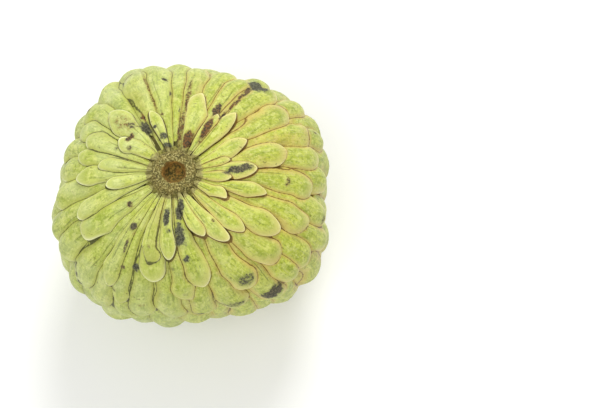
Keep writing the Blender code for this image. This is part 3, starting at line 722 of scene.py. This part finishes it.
def waxy_rind():
    """Ripe custard-apple rind: leathery yellow-green skin with a dull wax bloom.

    Greener mottled middles and creamy rims set each scale off. Thin brown lines and tan lie in the
    seams, partly as painted shade under the edges of the scales, and slate and brown bruises break
    the skin up. Wrinkles run lengthwise.
    """
    material, tree, shader = new_material("waxy_rind")
    read = {name: add(tree, "ShaderNodeAttribute", output="Fac", attribute_name=name)
            for name in SCALE_VALUES}
    place = add(tree, "ShaderNodeTexCoord", output="Object")
    inputs = {0: place, 1: SUNNY_SIDE}
    toward_sun = add(tree, "ShaderNodeVectorMath", inputs, output="Value", operation="DOT_PRODUCT")
    toward_sun = wavering(tree, toward_sun, lumps(tree, 16 * MM, 2.0), 0.03)
    sunny = (toward_sun, *SUNNY_REACH)
    inputs = {0: read["flow_along"], 1: read["flow_side"], 2: read["tint"]}
    flow = add(tree, "ShaderNodeCombineXYZ", inputs)
    coarse = {"Vector": flow, "Scale": 1.0, "Detail": 4.0, "Roughness": 0.62}
    fine = {"Vector": flow, "Scale": 2.0, "Detail": 3.0, "Roughness": 0.6}
    streak = add(tree, "ShaderNodeTexNoise", coarse)
    strand = add(tree, "ShaderNodeTexNoise", fine)
    patch = lumps(tree, 4.0 * MM, 4.0, 0.62)
    blotch = lumps(tree, 2.1 * MM, 3.0, 0.6)
    fleck = lumps(tree, 0.8 * MM, 3.0, 0.65)

    # ground colour: warmer on the sunny side, mottled, and yellower near the stem
    skin = layer(tree, "b0bf4c", "bac43c", *sunny)
    skin = layer(tree, skin, "c9cc68", read["tint"], -2.0, 2.0, 0.5)
    skin = layer(tree, skin, layer(tree, "98a838", "97a524", *sunny), patch, 0.44, 0.64, 0.85)
    skin = layer(tree, skin, "bdc53a", read["stemward"], 0.0, 0.9, 0.75)

    # dark and pale streaks, strands and flecks
    skin = layer(tree, skin, "7f901a", streak, 0.50, 0.68, 0.85)
    skin = layer(tree, skin, "d9da80", streak, 0.46, 0.28, 0.8)
    skin = layer(tree, skin, "e0e284", strand, 0.54, 0.70, 0.6)
    skin = layer(tree, skin, "74851a", strand, 0.46, 0.30, 0.6)
    skin = layer(tree, skin, "76841c", fleck, 0.46, 0.34, 0.65)
    skin = layer(tree, skin, "e2e880", fleck, 0.54, 0.66, 0.5)

    # greener middles, pale blotches, and bloom on the side away from the sun
    middle = wavering(tree, read["tipward"], blotch, 1.1)
    skin = layer(tree, skin, layer(tree, "7f9422", "adb93c", blotch, 0.0, 1.0), middle, 0.1, 0.75, 0.6)
    skin = layer(tree, skin, "dadb84", blotch, 0.50, 0.34, 0.45)
    bloomed = layer(tree, skin, "d8deae", lumps(tree, 12 * MM, 2.0), 0.40, 0.62, 0.25)
    skin = layer(tree, bloomed, skin, *sunny)

    # pale margins and creamy rims
    margin = wavering(tree, read["edge"], blotch, 0.5)
    skin = layer(tree, skin, layer(tree, "cbd16c", "dcd27a", *sunny), margin, 0.40, 0.92, 0.75)
    edge = wavering(tree, read["edge"], patch, 0.10)
    rim = layer(tree, skin, layer(tree, "dfe198", "e2d986", *sunny), edge, 0.80, 0.94, 0.65)
    rim = layer(tree, rim, layer(tree, "f1f2be", "f4e9a8", *sunny), read["edge"], 0.91, 0.97, 0.8)

    # tan and thin brown lines in the seams, partly painted shade where a scale lies close under the edge
    # of another, and creases along some scales
    seam = wavering(tree, read["seam"], fleck, 0.35)
    tan = layer(tree, "a3a540", "cdab58", *sunny)
    # tan seam colour and painted shade: it fades in where a point lies little above the neighbouring
    # scale, as beside the edge of one lying over it
    shaded = layer(tree, rim, tan, wavering(tree, seam, blotch, 1.6), 1.5, 0.1, 0.5)
    # brown seam line and painted shade: a thin dark line where the clearance is almost nothing, right at
    # the edge of the scale above
    line = layer(tree, "454612", "74500f", wavering(tree, toward_sun, patch, 0.05), *SUNNY_REACH)
    inputs = {0: read["upper"], 1: -0.12, 2: seam}      # lines are a little wider near the stem
    line_and_shade_mask = add(tree, "ShaderNodeMath", inputs, operation="MULTIPLY_ADD")
    seam_lines_and_shade = layer(tree, shaded, line, line_and_shade_mask, 0.15, -0.02, 0.9)
    creased = layer(tree, seam_lines_and_shade, "6d7030", read["crease"], 0.28, 0.05, 0.6)

    # bruises with soft halos, pores, and crumbs of cork next to the scar
    bruise = wavering(tree, wavering(tree, read["bruise"], fleck, 1.5), blotch, 1.0)
    tissue = layer(tree, "5a5c48", "74491f", read["brownness"], 0.0, 1.0)
    dark = layer(tree, "26231c", tissue, lumps(tree, 0.6 * MM), 0.38, 0.60)
    halo = layer(tree, "85894c", "95803e", read["brownness"], 0.0, 1.0)
    spotted = layer(tree, creased, halo, bruise, 0.10, 0.60, 0.55)
    spotted = layer(tree, spotted, dark, bruise, 0.45, 0.80, 0.95)
    pored = layer(tree, spotted, "6a602a", lumps(tree, 1.3 * MM, 2.0, 0.5), 0.69, 0.74, 0.6)
    near_scar = wavering(tree, read["from_stem"], fleck, 3.0)
    dust = layer(tree, "6f6432", "b0a468", fleck, 0.3, 0.7)
    dusty = layer(tree, pored, dust, near_scar, 9.2, 8.3, 0.85)
    tree.links.new(dusty, shader.inputs["Base Color"])

    # bruises are duller than the waxy skin, and creases are sunk
    rough = add(tree, "ShaderNodeMapRange", {0: bruise, 1: 0.3, 2: 0.8, 3: 0.45, 4: 0.75})
    tree.links.new(rough, shader.inputs["Roughness"])
    groove = add(tree, "ShaderNodeMapRange", {0: read["crease"], 1: 0.05, 2: 0.4})
    roughen(tree, shader, ((streak, 0.7), (strand, 0.5), (fleck, 0.25), (groove, 0.5)), 0.42 * MM)
    return material


def rough_cork():
    """Corky scar tissue where the stem broke off: pale grains on a brown collar, a darker pit."""
    material, tree, shader = new_material("rough_cork")
    grain = lumps(tree, 0.55 * MM, 3.0, 0.75)
    crumb = lumps(tree, 0.9 * MM, 3.0, 0.65)
    lump = lumps(tree, 2.0 * MM)
    distance = add(tree, "ShaderNodeAttribute", output="Fac", attribute_name="from_stem")
    from_stem = wavering(tree, distance, lump, 1.6)
    collar = layer(tree, "68622a", "897b3c", lump, 0.35, 0.65)
    collar = layer(tree, collar, "c4b878", grain, 0.53, 0.61, 0.9)
    collar = layer(tree, collar, "453a1a", grain, 0.48, 0.40, 0.9)
    fringe = layer(tree, "8d8a3c", "b0b156", grain, 0.3, 0.7)
    collar = layer(tree, collar, fringe, from_stem, 8.3, 9.2, 0.6)
    rim = layer(tree, "6e5216", "a0762c", crumb, 0.40, 0.62)
    pit = layer(tree, "4a430f", "94752e", crumb, 0.42, 0.58)
    pit = layer(tree, pit, "a5722c", lumps(tree, 3.0 * MM, 2.0), 0.55, 0.68, 0.45)
    hollow = layer(tree, pit, rim, from_stem, 3.3, 3.9)
    tree.links.new(layer(tree, hollow, collar, from_stem, 4.0, 4.8), shader.inputs["Base Color"])
    shader.inputs["Roughness"].default_value = 0.85
    roughen(tree, shader, ((grain, 1.0), (crumb, 1.0)), 0.4 * MM)
    return material


def seam_tissue():
    """Soft tan skin in the depth of the seams, between the scales."""
    material, tree, shader = new_material("seam_tissue")
    colour = layer(tree, "7b7636", "a89a58", lumps(tree, 3 * MM), 0.35, 0.65)
    tree.links.new(colour, shader.inputs["Base Color"])
    shader.inputs["Roughness"].default_value = 0.7
    return material


# ---------------------------------------------------------------- build

LAYOUT = scale_layout()
IS_CROWN = np.arange(len(LAYOUT["place"])) < len(CROWN_SCALES)
IS_INNER = IS_CROWN & (LAYOUT["place"][:, 0] < INNER_REACH)
skin = waxy_rind()
pieces = [
    scale_piece("inner_scales", LAYOUT, IS_INNER, CROWN_FINENESS),
    scale_piece("outer_scales", LAYOUT, IS_CROWN & ~IS_INNER, CROWN_FINENESS),
    scale_piece("flank_scales", LAYOUT, ~IS_CROWN, FLANK_FINENESS),
]
for piece in pieces:
    piece.data.materials.append(skin)
bed = bed_piece()
bed.data.materials.append(seam_tissue())
scar = scar_piece()
scar.data.materials.append(rough_cork())
for piece in pieces + [bed, scar]:
    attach(piece, "root")
    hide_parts("custard_apple")

# ---------------------------------------------------------------- floor, light, camera

FLOOR_REACH = 3.0               # from the middle of the floor to its sides
SKY_STRENGTH = 0.58             # even white light from all round
KEY_PLACE = (0.12, 0.50, 0.66)      # main light, behind the fruit: place, width and power in watts
KEY_WIDTH, KEY_POWER = 0.30, 3.75
FRONT_PLACE = (-0.24, -0.38, 0.90)  # broad light from the front
FRONT_WIDTH, FRONT_POWER = 0.60, 3.7
LENS, SENSOR_WIDTH = 100.0, 36.0    # mm
ELEVATION = np.radians(76.0)        # of the camera over the horizon
DISTANCE = 0.56                     # from the aim to the camera
AIM = (-0.001, 0.0, 0.0405)         # close to the middle of the fruit
SHIFT_RIGHT, SHIFT_DOWN = 0.0371, 0.0012    # of the camera, so that the fruit stands on the left


def area_light(name, place, aim, width, power):
    """A square light of this width that faces the aim."""
    light = bpy.data.lights.new(name, "AREA")
    light.size = width
    light.energy = power
    lamp = bpy.data.objects.new(name, light)
    lamp.location = place
    lamp.rotation_euler = (Vector(aim) - Vector(place)).to_track_quat("-Z", "Y").to_euler()
    bpy.context.scene.collection.objects.link(lamp)


# The floor is a flat square of matt white paper, level with the resting spot.
corners = [(x * FLOOR_REACH, y * FLOOR_REACH, 0.0) for x, y in ((-1, -1), (1, -1), (1, 1), (-1, 1))]
floor_mesh = bpy.data.meshes.new("floor")
floor_mesh.from_pydata(corners, [], [(0, 1, 2, 3)])
floor = bpy.data.objects.new("floor", floor_mesh)
bpy.context.scene.collection.objects.link(floor)
floor.data.materials.append(plain_material("floor_paper", "fbfbfa", 0.9))
floor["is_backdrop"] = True

world = bpy.data.worlds.new("studio")
bpy.context.scene.world = world
world.use_nodes = True
sky = world.node_tree.nodes["Background"]
sky.inputs["Color"].default_value = (1.0, 1.0, 1.0, 1.0)
sky.inputs["Strength"].default_value = SKY_STRENGTH

centre = (Vector(CAD_LOW) + Vector(CAD_HIGH)) / 2
area_light("key", KEY_PLACE, centre, KEY_WIDTH, KEY_POWER)
area_light("front", FRONT_PLACE, centre, FRONT_WIDTH, FRONT_POWER)

camera = bpy.data.objects.new("camera", bpy.data.cameras.new("camera"))
camera.data.lens = LENS
camera.data.sensor_width = SENSOR_WIDTH
bpy.context.scene.collection.objects.link(camera)
bpy.context.scene.camera = camera
toward = Vector((0.0, -np.cos(ELEVATION), np.sin(ELEVATION)))
camera.rotation_euler = toward.to_track_quat("Z", "Y").to_euler()
right = camera.rotation_euler.to_matrix() @ Vector((1, 0, 0))
up = camera.rotation_euler.to_matrix() @ Vector((0, 1, 0))
camera.location = Vector(AIM) + toward * DISTANCE + (right * SHIFT_RIGHT - up * SHIFT_DOWN)
bpy.context.scene.view_settings.view_transform = "Standard"
